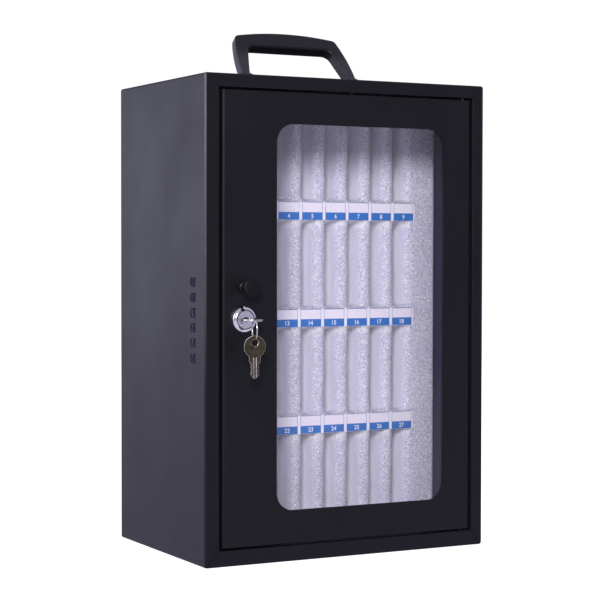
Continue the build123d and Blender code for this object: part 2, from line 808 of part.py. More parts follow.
with BuildPart() as lock_nut:
    with BuildSketch(upright(door_inside_y)):
        with Locations((lock_x, lock_z)):
            RegularPolygon(lock_nut_across_flats / 2, 6, major_radius=False)
            Circle(lock_barrel_radius + running_gap, mode=Mode.SUBTRACT)
    extrude(amount=-lock_nut_height)
lock_nut.part.label = "lock_nut"
export_step(lock_nut.part, "parts/lock_nut.step")

# the key lies flat in the keyway, so the keyway is as wide as the blade and as high as its plate
key_end_y = front_y - lock_bezel_height - plug_proud - key_standoff - 2 * key_bow_radius
key_tip_y = key_end_y + key_length
key_bow_y = key_end_y + key_bow_radius
keyway_width = key_blade_width + 2 * keyway_clearance
keyway_height = key_thickness + 2 * keyway_clearance
keyway_end_y = key_tip_y + key_tip_gap
shoulder_pocket_width = key_shoulder_width + 2 * keyway_clearance
shoulder_pocket_depth = key_shoulder_length - key_standoff + key_tip_gap
with BuildPart() as lock_plug:
    with BuildSketch(turned(lock_x, front_y, lock_z)):
        with BuildLine():
            Polyline(
                (0, -(lock_barrel_length + cam_clearance)),
                (plug_body_radius, -(lock_barrel_length + cam_clearance)),
                (plug_body_radius, bore_step + running_gap),
                (plug_head_radius, bore_step + running_gap),
                (plug_head_radius, lock_bezel_height + plug_proud - plug_chamfer),
                (plug_head_radius - plug_chamfer, lock_bezel_height + plug_proud),
                (0, lock_bezel_height + plug_proud),
                close=True,
            )
        make_face()
    revolve(axis=facing_out(lock_x, front_y, lock_z))
    with BuildSketch(upright(cam_front_y)):
        with Locations((lock_x, lock_z)):
            Rectangle(plug_tail_side, plug_tail_side)
    extrude(amount=-cam_thickness)
    with BuildSketch(upright(front_y - lock_bezel_height - plug_proud)):
        with Locations((lock_x, lock_z)):
            Rectangle(keyway_width, keyway_height)
    extrude(
        amount=-(keyway_end_y - front_y + lock_bezel_height + plug_proud), mode=Mode.SUBTRACT
    )
    # the mouth of the keyway is wider, for the key's shoulders
    with BuildSketch(upright(front_y - lock_bezel_height - plug_proud)):
        with Locations((lock_x, lock_z)):
            Rectangle(shoulder_pocket_width, keyway_height)
    extrude(amount=-shoulder_pocket_depth, mode=Mode.SUBTRACT)
    with BuildSketch(upright(cam_back_y)):
        with Locations((lock_x, lock_z)):
            Circle(cam_screw_radius + running_gap)
    extrude(amount=cam_screw_grip + running_gap, mode=Mode.SUBTRACT)
lock_plug.part.label = "lock_plug"
export_step(lock_plug.part, "parts/lock_plug.step")

# the cam points down when unlocked, and a quarter turn takes it behind the door's stop lip
with BuildPart() as lock_cam:
    with BuildSketch(upright(cam_front_y)):
        with Locations((lock_x, lock_z)):
            Circle(cam_hub_radius)
            Rectangle(cam_tip_width, cam_reach, align=(Align.CENTER, Align.MAX))
            Rectangle(
                plug_tail_side + 2 * running_gap,
                plug_tail_side + 2 * running_gap,
                mode=Mode.SUBTRACT,
            )
    extrude(amount=-cam_thickness)
    fillet(lock_cam.edges().filter_by(Axis.Y).group_by(Axis.Z)[0], cam_tip_corner)
lock_cam.part.label = "lock_cam"
export_step(lock_cam.part, "parts/lock_cam.step")

with BuildPart() as cam_screw:
    with BuildSketch(upright(cam_back_y)):
        with Locations((lock_x, lock_z)):
            Circle(cam_screw_head_radius)
    extrude(amount=-cam_screw_head_height)
    fillet(cam_screw.faces().sort_by(Axis.Y)[-1].edges(), cam_screw_head_height / 2)
    with BuildSketch(upright(cam_back_y)):
        with Locations((lock_x, lock_z)):
            Circle(cam_screw_radius)
    extrude(amount=cam_screw_grip)
cam_screw.part.label = "cam_screw"
export_step(cam_screw.part, "parts/cam_screw.step")


# ---------------------------------------------------------------- keys
def make_key(bow_plane):
    """A flat key in this plane: the origin is the bow's centre, and the blade runs along +x."""
    tip = key_length - key_bow_radius
    half_blade = key_blade_width / 2
    half_shoulder = key_shoulder_width / 2
    shoulder_end = key_bow_radius + key_shoulder_length
    # one edge from the bow to the tip, as distances along the key and out from its middle line;
    # each cut is given by its distance from the tip and its depth, and has 45 degree sides
    edge = [(0, half_shoulder), (shoulder_end, half_shoulder), (shoulder_end, half_blade)]
    for from_tip, depth in reversed(key_cuts):
        edge.append((tip - from_tip - key_cut_floor / 2 - depth, half_blade))
        edge.append((tip - from_tip - key_cut_floor / 2, half_blade - depth))
        edge.append((tip - from_tip + key_cut_floor / 2, half_blade - depth))
        edge.append((tip - from_tip + key_cut_floor / 2 + depth, half_blade))
    edge.append((tip - key_tip_length, half_blade))
    edge.append((tip, key_tip_width / 2))
    outline = edge + [(along, -out) for along, out in reversed(edge)]
    with BuildPart() as key:
        with BuildSketch(bow_plane):
            Circle(key_bow_radius)
            with BuildLine():
                Polyline(*outline, close=True)
            make_face()
            with Locations((key_hole_from_end - key_bow_radius, 0)):
                Circle(key_hole_radius, mode=Mode.SUBTRACT)
        extrude(amount=key_thickness / 2, both=True)
        # two milled grooves along each face of the blade
        for face in (-1, 1):
            with BuildSketch(bow_plane.offset(face * key_thickness / 2)):
                with Locations([(key_bow_radius, offset) for offset in key_groove_offsets]):
                    Rectangle(key_length, key_groove_width, align=(Align.MIN, Align.CENTER))
            extrude(amount=-face * key_groove_depth, mode=Mode.SUBTRACT)
    return key.part


key_in_lock = make_key(
    Plane(origin=(lock_x, key_bow_y, lock_z), x_dir=(0, 1, 0), z_dir=(0, 0, 1))
)
key_in_lock.label = "key_in_lock"
export_step(key_in_lock, "parts/key_in_lock.step")

# ---------------------------------------------------------------- ring, hung from the key's bow
heading = radians(ring_heading)
ring_along = (sin(heading), cos(heading), 0)
ring_across = (cos(heading), -sin(heading), 0)
hole_offset = key_bow_radius - key_hole_from_end
hole_y = key_bow_y - hole_offset
# the ring goes down through the hole and back up in front of the bow's rim, along its heading
rim_reach = sqrt(key_bow_radius**2 - (hole_offset * ring_along[0]) ** 2) - hole_offset * ring_along[1]
ring_reach = (key_hole_radius + rim_reach) / 2 + ring_shift
ring_inner_radius = ring_radius - ring_wire_radius
web_drop = ring_inner_radius - sqrt(ring_inner_radius**2 - (ring_reach - key_hole_radius) ** 2)
ring_z = lock_z + key_thickness / 2 + ring_rest_gap + web_drop - ring_inner_radius
ring_centre = (
    lock_x - ring_reach * ring_along[0],
    hole_y - ring_reach * ring_along[1],
    ring_z,
)
with BuildPart() as key_ring:
    section_origin = (
        ring_centre[0] + ring_radius * ring_along[0],
        ring_centre[1] + ring_radius * ring_along[1],
        ring_centre[2],
    )
    with BuildSketch(Plane(origin=section_origin, x_dir=ring_along, z_dir=(0, 0, 1))):
        Circle(ring_wire_radius)
    revolve(axis=Axis(ring_centre, ring_across))
key_ring.part.label = "key_ring"
export_step(key_ring.part, "parts/key_ring.step")

# the spare key hangs from the ring's lowest point, its plate square to the ring
spare_hole_z = ring_z - ring_inner_radius + ring_rest_gap - key_hole_radius
spare_bow_z = spare_hole_z + key_hole_from_end - key_bow_radius
spare_key = make_key(
    Plane(origin=(ring_centre[0], ring_centre[1], spare_bow_z), x_dir=(0, 0, -1), z_dir=ring_along)
)
spare_key.label = "spare_key"
export_step(spare_key, "parts/spare_key.step")
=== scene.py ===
"""The locker box, dressed for its picture.

Metres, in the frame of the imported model: +X to the right of someone facing the door, +Y from the door
to the back, +Z up, origin at the centre of the cabinet's underside.
"""
import math

import bpy
import numpy as np
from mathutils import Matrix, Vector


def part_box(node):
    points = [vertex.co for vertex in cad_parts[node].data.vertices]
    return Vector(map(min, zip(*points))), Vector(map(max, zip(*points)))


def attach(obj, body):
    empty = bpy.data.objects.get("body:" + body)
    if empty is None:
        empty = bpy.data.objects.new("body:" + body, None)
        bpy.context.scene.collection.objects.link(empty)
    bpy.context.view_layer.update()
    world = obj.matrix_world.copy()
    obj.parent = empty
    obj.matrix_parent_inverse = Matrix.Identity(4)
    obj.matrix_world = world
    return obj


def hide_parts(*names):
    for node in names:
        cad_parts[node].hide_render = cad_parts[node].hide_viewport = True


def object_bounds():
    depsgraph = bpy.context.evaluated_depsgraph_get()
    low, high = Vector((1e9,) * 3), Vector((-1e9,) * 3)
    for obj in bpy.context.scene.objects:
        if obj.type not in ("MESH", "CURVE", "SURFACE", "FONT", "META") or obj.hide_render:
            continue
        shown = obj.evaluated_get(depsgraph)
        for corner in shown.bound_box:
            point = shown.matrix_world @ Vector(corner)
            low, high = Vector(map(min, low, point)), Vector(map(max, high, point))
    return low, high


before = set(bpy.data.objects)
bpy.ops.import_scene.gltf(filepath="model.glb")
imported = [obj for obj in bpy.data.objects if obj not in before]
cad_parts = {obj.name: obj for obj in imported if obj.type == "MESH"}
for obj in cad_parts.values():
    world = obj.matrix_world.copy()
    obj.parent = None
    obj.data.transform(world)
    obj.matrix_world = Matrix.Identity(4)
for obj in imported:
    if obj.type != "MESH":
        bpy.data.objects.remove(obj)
cad_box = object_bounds()

# ---- sizes, in metres: what the frame can say is read from it, the rest is named here
mm = 0.001
slot_columns = 9
slot_width = 9.0 * mm
strip_shift = 1.6 * mm
rows = (1, 2, 3, 4)
strip_boxes = {row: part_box(f"label_strip_row_{row}") for row in rows}
rib_boxes = {row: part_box(f"foam_ribs_row_{row}") for row in rows}
backing_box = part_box("foam_backing")
shelf_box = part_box("foam_shelves")
slot_pitch = (strip_boxes[2][1][0] - strip_boxes[2][0][0]) / slot_columns
slots_x = (strip_boxes[2][0][0] + strip_boxes[2][1][0]) / 2 - strip_shift
foam_half_width = shelf_box[1][0]
foam_front = shelf_box[0][1]
foam_slot_end = shelf_box[1][1]
foam_bottom = shelf_box[0][2]
foam_top = shelf_box[1][2]
label_width = 23.0 * mm
label_band_height = 7.5 * mm
label_foot = 0.15 * mm
digit_height = 4.3 * mm
lock_x = (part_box("lock_housing")[0][0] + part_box("lock_housing")[1][0]) / 2
lock_z = 226.0 * mm
cabinet_side = cad_box[1][0]
cabinet_back = cad_box[1][1]
cabinet_top = 450.0 * mm
door_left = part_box("door_panel")[0][0]
door_edge = 1.0 * mm
fold_start = 2.2 * mm
fold_full = 0.7 * mm
paint_skin = 0.6 * mm
wall_skin = 1.8 * mm
plug_face = 105.0 * mm
grip_foot = 492.0 * mm
grip_fade = 18.0 * mm
slot_lip_x = 8.4 * mm
slot_lip_depth = 13.0 * mm
foam_edge_x = 5.6 * mm
foam_edge_depth = 11.0 * mm
digit_lift = 0.02 * mm

# ---- colours and light levels that are used more than once
cool_gloss = (0.76, 0.75, 1.0, 1)
painted_light_white = (0.985, 0.955, 1.0, 1)
near_gloss = 0.47
room_fill = 0.42


# ------------------------------------------------------------------ surfaces
def sheet_of_quads(rows, columns, wrap_rows, wrap_columns):
    """Corner numbers of the quads of a grid: each quad joins a point to the next one along the
    rows and along the columns, and a wrapped direction joins its last line back to its first."""
    row = np.arange(rows if wrap_rows else rows - 1)
    column = np.arange(columns if wrap_columns else columns - 1)
    row, column = np.meshgrid(row, column, indexing="ij")
    next_row = (row + 1) % rows
    next_column = (column + 1) % columns
    corners = [
        row * columns + column,
        row * columns + next_column,
        next_row * columns + next_column,
        next_row * columns + column,
    ]
    return np.stack(corners, axis=-1).reshape(-1, 4)


def mesh_from_arrays(name, points, faces, smooth=True):
    """A mesh object from an array of points and a list of faces."""
    mesh = bpy.data.meshes.new(name)
    mesh.from_pydata(points.reshape(-1, 3).tolist(), [], [tuple(face) for face in faces])
    mesh.update()
    mesh.polygons.foreach_set("use_smooth", [smooth] * len(mesh.polygons))
    piece = bpy.data.objects.new(name, mesh)
    bpy.context.scene.collection.objects.link(piece)
    return piece


def prism_from_loops(grid):
    """Points and faces of a closed prism: grid[v, u] are closed loops, one above the other; the
    loops are joined by quads, and the first and last loops are closed by one face each."""
    levels, around = grid.shape[:2]
    quads = sheet_of_quads(levels, around, False, True).tolist()
    bottom = list(range(around - 1, -1, -1))
    top = list(range((levels - 1) * around, levels * around))
    return grid.reshape(-1, 3), quads + [bottom, top]


def joined(parts):
    """One array of points and one list of faces from several."""
    points, faces, start = [], [], 0
    for part_points, part_faces in parts:
        points.append(part_points)
        faces.extend([[corner + start for corner in face] for face in part_faces])
        start += len(part_points)
    return np.concatenate(points), faces


def ripple(z, phase, height):
    """A slow unevenness along z: the sum of two sines of 61 mm and 23 mm wavelength."""
    slow = np.sin(2 * math.pi * z / (61 * mm) + phase)
    quick = np.sin(2 * math.pi * z / (23 * mm) + 2.3 * phase)
    return height * (0.7 * slow + 0.3 * quick)


def slotted_path():
    """The foam's outline seen from above, from its back left corner to its back right corner: the
    x, the depth behind the front, and the number of the rib. Beside each slot a quarter ellipse,
    x = edge - 8.4 (1 - sin t) and depth = 13 (1 - cos t) in millimetres, leads into a straight wall.
    The block's own two upright edges are quarter ellipses of 5.6 by 11 mm."""
    turn = np.linspace(0, math.pi / 2, 9)
    lip_x = slot_lip_x * (1 - np.sin(turn))
    lip_depth = slot_lip_depth * (1 - np.cos(turn))
    wall_depth = np.array([25.0, 50.0, 99.4]) * mm
    into_slot = np.concatenate([lip_depth, wall_depth])
    beside_slot = np.concatenate([lip_x, np.zeros(3)])
    round_x = foam_edge_x * (1 - np.sin(turn[::2]))
    round_depth = foam_edge_depth * (1 - np.cos(turn[::2]))
    foam_depth = foam_slot_end - foam_front
    x = [np.array([-foam_half_width]), -foam_half_width + round_x[::-1]]
    depth = [np.array([foam_depth]), round_depth[::-1]]
    rib = [np.zeros(1), np.zeros(5)]
    for column in range(slot_columns):
        centre = slots_x + (column - (slot_columns - 1) / 2) * slot_pitch
        x.append(centre - slot_width / 2 - beside_slot)
        x.append((centre + slot_width / 2 + beside_slot)[::-1])
        depth.append(into_slot)
        depth.append(into_slot[::-1])
        rib.append(np.full(len(into_slot), column))
        rib.append(np.full(len(into_slot), column + 1))
    x.extend([foam_half_width - round_x, np.array([foam_half_width])])
    depth.extend([round_depth, np.array([foam_depth])])
    rib.extend([np.full(5, slot_columns), np.full(1, slot_columns)])
    return np.concatenate(x), np.concatenate(depth), np.concatenate(rib)


def slot_levels():
    """Heights up the foam, and how deep a slot may be at each: nothing on the plain foam between
    two rows, then a soft lip at the slots' lower end and a wider one over their upper end, which the
    number strip hides."""
    # pairs of a height above the slot's end and the depth there, in millimetres
    lower_lip = [(-1.4, 0.0), (-0.6, 0.8), (0.2, 2.5), (1.0, 6.0), (1.6, 12.0), (2.0, 22.0), (2.2, 1000.0)]
    upper_lip = [
        (-1.6, 1000.0), (-1.3, 26.0), (-0.6, 17.0), (0.6, 11.0),
        (2.4, 7.0), (5.0, 3.6), (8.0, 1.2), (12.0, 0.0),
    ]
    levels = [(foam_bottom, 0.0), (foam_bottom + 1.2 * mm, 0.0)]
    for row in reversed(rows):
        bottom = rib_boxes[row][0][2]
        top = rib_boxes[row][1][2]
        levels.extend((bottom + up * mm, depth * mm) for up, depth in lower_lip)
        levels.extend((z, 1.0) for z in np.linspace(bottom + 6 * mm, top - 4 * mm, 14))
        room = min(1.0, (foam_top - top) / (12.5 * mm))
        levels.extend((top + up * room * mm, depth * mm) for up, depth in upper_lip)
    levels.append((foam_top, 0.0))
    return np.array(levels)


def foam_block():
    """The slotted foam as one closed block. The outline is carried up the levels, and the depth is
    the soft smaller of the outline's and the level's: (a^-3 + b^-3)^(-1/3). Near the front, each rib
    leans and dips a little by its own ripple, and none of it where the number strips lie."""
    path_x, path_depth, path_rib = slotted_path()
    levels = slot_levels()
    z = levels[:, 0][:, None]
    limit = levels[:, 1][:, None]
    least = 1e-6
    soft = (np.maximum(path_depth, least) ** -3 + np.maximum(limit, least) ** -3) ** (-1 / 3)
    end_zone = foam_half_width - foam_edge_x - 0.1 * mm
    ends = (path_rib == 0) & (path_x < -end_zone)
    ends |= (path_rib == slot_columns) & (path_x > end_zone)
    depth = np.where(ends, path_depth, np.where(path_depth < least, 0.0, soft))
    calm = limit / (limit + 10 * mm)
    nearness = np.clip(1 - depth / (22 * mm), 0, 1)
    dip = 0.35 * mm + ripple(z, 1.3 * path_rib, 0.35 * mm)
    lean = ripple(z, 2.9 * path_rib + 0.8, 0.5 * mm)
    half_width = np.where(z < foam_bottom + 1.0 * mm, foam_half_width - 1.1 * mm, foam_half_width)
    inner = (path_rib > 0) & (path_rib < slot_columns)
    grid = np.zeros((len(levels), len(path_x), 3))
    grid[..., 0] = np.clip(path_x + inner * nearness * calm * lean, -half_width, half_width)
    grid[..., 1] = foam_front + depth + np.where(ends, 0.0, nearness * calm * dip)
    grid[..., 2] = z
    points, faces = prism_from_loops(grid)
    block = mesh_from_arrays("foam_slotted_block", points, faces)
    around = len(path_x)
    smooth = np.ones((len(levels) - 1, around), bool)
    smooth[:, [0, around - 2, around - 1]] = False
    block.data.polygons.foreach_set("use_smooth", smooth.reshape(-1).tolist() + [False, False])
    return block


def slab(half_width, front, back, bottom, top, edge, phase):
    """A foam slab: a rounded outline of front, back, bottom and top, whose corners are quarter
    circles of radius edge, is carried along X, and its front wavers by a sine."""
    turn = np.linspace(0, math.pi / 2, 5)
    corner_y = edge * (1 - np.cos(turn))
    corner_z = edge * (1 - np.sin(turn))
    outline = np.concatenate([
        np.stack([front + corner_y, bottom + corner_z], axis=1),
        np.stack([back - corner_y, bottom + corner_z], axis=1)[::-1],
        np.stack([back - corner_y, top - corner_z], axis=1),
        np.stack([front + corner_y, top - corner_z], axis=1)[::-1],
    ])
    x = np.linspace(-half_width, half_width, 61)
    grid = np.zeros((len(x), len(outline), 3))
    grid[..., 0] = x[:, None]
    grid[..., 1] = outline[:, 0]
    grid[..., 2] = outline[:, 1]
    nearness = np.clip((front + 4 * mm - grid[..., 1]) / (4 * mm), 0, 1)
    grid[..., 1] += nearness * (0.08 * mm + ripple(x, phase, 0.08 * mm))[:, None]
    return prism_from_loops(grid)


# ------------------------------------------------------------------ shader helpers
def put(tree, socket, value):
    """Links a socket, or sets its value."""
    if isinstance(value, bpy.types.NodeSocket):
        tree.links.new(value, socket)
    else:
        socket.default_value = value


def add_node(tree, kind, inputs=None, **settings):
    """A node of this kind with its settings, and its inputs linked or set by name or number."""
    made = tree.nodes.new(kind)
    for key, value in settings.items():
        setattr(made, key, value)
    for key, value in (inputs or {}).items():
        put(tree, made.inputs[key], value)
    return made


def calculate(tree, operation, first, second=0.0, third=None):
    """The result of one sum."""
    inputs = {0: first, 1: second}
    if third is not None:
        inputs[2] = third
    return add_node(tree, "ShaderNodeMath", inputs, operation=operation).outputs[0]


def times(tree, first, second):
    """The product of two numbers."""
    return calculate(tree, "MULTIPLY", first, second)


def blend_colours(tree, factor, first, second):
    """A colour between two others."""
    return add_node(tree, "ShaderNodeMix", {0: factor, 6: first, 7: second}, data_type="RGBA").outputs[2]


def between(tree, value, low, high, out_low=0.0, out_high=1.0):
    """The value carried from one range to another, and held at the ends."""
    made = add_node(
        tree, "ShaderNodeMapRange", {0: value, 1: low, 2: high, 3: out_low, 4: out_high}, clamp=True
    )
    return made.outputs[0]


def smooth_step(tree, value, low, high):
    """0 below low, 1 above high, and a soft step between."""
    made = add_node(
        tree,
        "ShaderNodeMapRange",
        {0: value, 1: low, 2: high, 3: 0.0, 4: 1.0},
        clamp=True,
        interpolation_type="SMOOTHSTEP",
    )
    return made.outputs[0]


def start_material(name):
    """A new material with one shader, and the place of each point on the piece."""
    material = bpy.data.materials.new(name)
    material.use_nodes = True
    tree = material.node_tree
    tree.nodes.clear()
    shader = tree.nodes.new("ShaderNodeBsdfPrincipled")
    output = tree.nodes.new("ShaderNodeOutputMaterial")
    tree.links.new(shader.outputs[0], output.inputs[0])
    place = add_node(tree, "ShaderNodeTexCoord").outputs["Object"]
    return material, tree, shader, output, place


def noise(tree, place, scale, detail=2.0, roughness=0.5, stretch=None):
    """Noise of this scale at a place, stretched if asked."""
    if stretch:
        place = add_node(tree, "ShaderNodeMapping", {0: place, 3: stretch}).outputs[0]
    inputs = {"Vector": place, "Scale": scale, "Detail": detail, "Roughness": roughness}
    return add_node(tree, "ShaderNodeTexNoise", inputs).outputs[0]


def bump(tree, shader, height, strength, distance):
    """A small relief on the shader's normal."""
    made = add_node(
        tree, "ShaderNodeBump", {"Strength": strength, "Distance": distance, "Height": height}
    )
    put(tree, shader.inputs["Normal"], made.outputs[0])


def outer_faces(tree, axes):
    """Whether a point lies on the cabinet's side, front or top face: 1 down to 0.7 mm behind the
    face, then a soft step to 0 at 2.2 mm."""
    across = calculate(tree, "ABSOLUTE", axes[0])
    forward = times(tree, axes[1], -1.0)
    side = smooth_step(tree, across, cabinet_side - fold_start, cabinet_side - fold_full)
    front = smooth_step(tree, forward, cabinet_back - fold_start, cabinet_back - fold_full)
    top = smooth_step(tree, axes[2], cabinet_top - fold_start, cabinet_top - fold_full)
    return side, front, top


def inner_faces(tree, axes):
    """1 on faces that lie behind the skin of the sides, the top, the front and the back, and 0 on
    the skin."""
    across = calculate(tree, "ABSOLUTE", axes[0])
    off_side = calculate(tree, "LESS_THAN", across, cabinet_side - paint_skin)
    off_front = calculate(tree, "GREATER_THAN", axes[1], -cabinet_back + paint_skin)
    off_top = calculate(tree, "LESS_THAN", axes[2], cabinet_top - paint_skin)
    off_back = calculate(tree, "LESS_THAN", axes[1], cabinet_back - paint_skin)
    return times(tree, times(tree, off_side, off_front), times(tree, off_top, off_back))


def powder_coat(name, on_door):
    """Black powder coat on sheet steel: a fine orange peel, a faint cloudiness, and duller paint on what
    faces inwards, painted darker there as painted shade, and bluer and lighter on the side walls' inner
    faces as painted cool light. Painted highlights: pale specks on the cabinet's upright front folds,
    paler towards the top, stand in for the grain catching light at the bend; the door's left edge is
    dull and its painted specks are faint."""
    material, tree, shader, output, place = start_material(name)
    peel = noise(tree, place, 900.0, 2.0, 0.55)
    grain = noise(tree, place, 2600.0, 1.0, 0.5)
    cloud = noise(tree, place, 14.0, 3.0, 0.55)
    axes = add_node(tree, "ShaderNodeSeparateXYZ", {0: place}).outputs
    side, front, top = outer_faces(tree, axes)
    if on_door:
        near_edge = calculate(tree, "LESS_THAN", axes[0], door_left + door_edge)
        glint_edge = times(tree, near_edge, front)
        fold = glint_edge
        glint_strength = 0.04
        gloss = 0.26
        tint = (0.86, 0.85, 1.0, 1)
    else:
        glint_edge = times(tree, side, front)
        fold = calculate(tree, "MAXIMUM", glint_edge, times(tree, top, calculate(tree, "MAXIMUM", side, front)))
        glint_strength = 0.9
        gloss = 0.27
        tint = (0.81, 0.80, 1.0, 1)
    inside = inner_faces(tree, axes)
    # painted highlights: pale specks along the folds, paler towards the top, stand in for the grain
    # catching light at the bend
    glint_dots = smooth_step(tree, noise(tree, place, 800.0, 1.0, 0.5), 0.50, 0.64)
    glint_dots = between(tree, glint_dots, 0.0, 1.0, 0.65, 1.0)
    height = between(tree, axes[2], 0.16, 0.43, 0.0, 1.0)
    painted_glints = times(tree, times(tree, times(tree, glint_edge, glint_dots), height), glint_strength)
    base = blend_colours(tree, cloud, (0.0038, 0.0038, 0.0042, 1), (0.0052, 0.0052, 0.0058, 1))
    # painted shade: faces behind the skin, inside the cabinet and in the gap round the door, are painted
    # darker
    base = blend_colours(tree, inside, base, (0.0020, 0.0020, 0.0024, 1))
    # painted cool light: the inner faces of the side walls are painted bluer and lighter
    across = calculate(tree, "ABSOLUTE", axes[0])
    side_wall_cool_light = calculate(tree, "GREATER_THAN", across, cabinet_side - wall_skin)
    base = blend_colours(tree, times(tree, inside, side_wall_cool_light), base, (0.010, 0.010, 0.030, 1))
    put(tree, shader.inputs["Base Color"], blend_colours(tree, painted_glints, base, (0.165, 0.16, 0.185, 1)))
    dull = times(tree, calculate(tree, "MAXIMUM", inside, fold), 0.30)
    roughness = calculate(tree, "ADD", between(tree, cloud, 0.3, 0.7, 0.40, 0.47), dull)
    put(tree, shader.inputs["Roughness"], roughness)
    shader.inputs["Specular IOR Level"].default_value = gloss
    shader.inputs["Specular Tint"].default_value = tint
    bump(tree, shader, calculate(tree, "ADD", peel, times(tree, grain, 0.4)), 0.22, 0.0002)
    return material


def steel_finish(name, dark, light, roughness):
    """Plating on small steel pieces: a mottled crystal bloom and fine drawing lines."""
    material, tree, shader, output, place = start_material(name)
    bloom = add_node(tree, "ShaderNodeTexVoronoi", {"Vector": place, "Scale": 900.0}).outputs["Color"]
    bloom_value = add_node(tree, "ShaderNodeSeparateXYZ", {0: bloom}).outputs[0]
    lines = noise(tree, place, 400.0, 2.0, 0.6, (1.0, 1.0, 14.0))
    put(tree, shader.inputs["Base Color"], blend_colours(tree, bloom_value, dark, light))
    put(tree, shader.inputs["Roughness"], between(tree, lines, 0.3, 0.7, roughness, roughness + 0.16))
    shader.inputs["Metallic"].default_value = 1.0
    bump(tree, shader, lines, 0.15, 0.00008)
    return material


def lock_chrome(name, ring_inside, ring_outside, dark_keyway):
    """Bright chrome, turned: very fine rings about the lock's middle line, a dark line where the plug
    meets the housing, painted shade in the bezel's notch with a thin painted dark reflection of the key
    at its left, and on the plug a dark lens of painted shade around the keyway."""
    material, tree, shader, output, place = start_material(name)
    axes = add_node(tree, "ShaderNodeSeparateXYZ", {0: place}).outputs
    across = calculate(tree, "SUBTRACT", axes[0], lock_x)
    up = calculate(tree, "SUBTRACT", axes[2], lock_z)
    radius = calculate(tree, "SQRT", calculate(
        tree, "ADD", times(tree, across, across), times(tree, up, up)
    ))
    rings = calculate(tree, "SINE", times(tree, radius, 2 * math.pi / (0.22 * mm)))
    smudge = noise(tree, place, 120.0, 2.0, 0.5)
    line_edge = 0.15 * mm
    past_inside = smooth_step(tree, radius, ring_inside, ring_inside + line_edge)
    before_outside = smooth_step(tree, times(tree, radius, -1.0), -ring_outside, -ring_outside + line_edge)
    line = times(tree, past_inside, before_outside)
    if not dark_keyway:
        # painted shade in the bezel's milled notch left of its top, and a thin painted dark reflection of
        # the key at its left
        from_notch = calculate(tree, "ABSOLUTE", calculate(tree, "ADD", across, 2.6 * mm))
        notch_shade = times(
            tree,
            calculate(tree, "LESS_THAN", from_notch, 1.7 * mm),
            calculate(tree, "GREATER_THAN", up, 7.4 * mm),
        )
        painted_reflection = times(
            tree,
            calculate(tree, "LESS_THAN", calculate(tree, "ABSOLUTE", up), 0.45 * mm),
            calculate(tree, "LESS_THAN", across, -8.6 * mm),
        )
        painted_notch_and_reflection = calculate(tree, "MAXIMUM", notch_shade, times(tree, painted_reflection, 0.8))
        line = calculate(tree, "MAXIMUM", line, painted_notch_and_reflection)
    dark = line
    if dark_keyway:
        # painted shade of the keyway, a lens: |up| < 2.3 mm times one minus the square of across over 5.2
        # mm
        share = calculate(tree, "DIVIDE", across, 5.2 * mm)
        half_height = calculate(tree, "MULTIPLY_ADD", times(tree, share, share), -2.3 * mm, 2.3 * mm)
        inside = calculate(tree, "SUBTRACT", half_height, calculate(tree, "ABSOLUTE", up))
        lens = smooth_step(tree, inside, -0.1 * mm, 0.15 * mm)
        front = smooth_step(tree, times(tree, axes[1], -1.0), plug_face, plug_face + 0.3 * mm)
        dark = calculate(tree, "MAXIMUM", line, times(tree, lens, front))
    plate = blend_colours(tree, smudge, (0.93, 0.91, 0.94, 1), (0.98, 0.96, 0.99, 1))
    put(tree, shader.inputs["Base Color"], blend_colours(tree, dark, plate, (0.012, 0.011, 0.014, 1)))
    put(tree, shader.inputs["Roughness"], calculate(
        tree, "ADD", between(tree, smudge, 0.3, 0.7, 0.09, 0.15), times(tree, dark, 0.35)
    ))
    shader.inputs["Metallic"].default_value = 1.0
    bump(tree, shader, rings, 0.05, 0.00002)
    return material


def key_nickel(name, light, shade, roughness):
    """Nickel-plated key, handled: milling lines, warm tarnish in patches, and short scratches."""
    material, tree, shader, output, place = start_material(name)
    tarnish = noise(tree, place, 190.0, 4.0, 0.6)
    milling = noise(tree, place, 700.0, 2.0, 0.6, (6.0, 6.0, 1.0))
    scratch = noise(tree, place, 900.0, 1.0, 0.4, (1.0, 1.0, 9.0))
    put(tree, shader.inputs["Base Color"], blend_colours(
        tree, smooth_step(tree, tarnish, 0.35, 0.65), light, shade
    ))
    shader.inputs["Metallic"].default_value = 1.0
    put(tree, shader.inputs["Roughness"], between(tree, scratch, 0.35, 0.7, roughness, roughness + 0.16))
    bump(tree, shader, calculate(tree, "ADD", milling, scratch), 0.20, 0.00005)
    return material


def spring_wire():
    """Bright drawn wire: faint lengthwise lines and a few dull patches."""
    material, tree, shader, output, place = start_material("ring_wire")
    patch = noise(tree, place, 320.0, 3.0, 0.5)
    put(tree, shader.inputs["Base Color"], blend_colours(
        tree, patch, (0.44, 0.39, 0.34, 1), (0.74, 0.69, 0.62, 1)
    ))
    shader.inputs["Metallic"].default_value = 1.0
    put(tree, shader.inputs["Roughness"], between(tree, patch, 0.3, 0.7, 0.14, 0.26))
    bump(tree, shader, noise(tree, place, 1500.0, 1.0), 0.08, 0.00003)
    return material


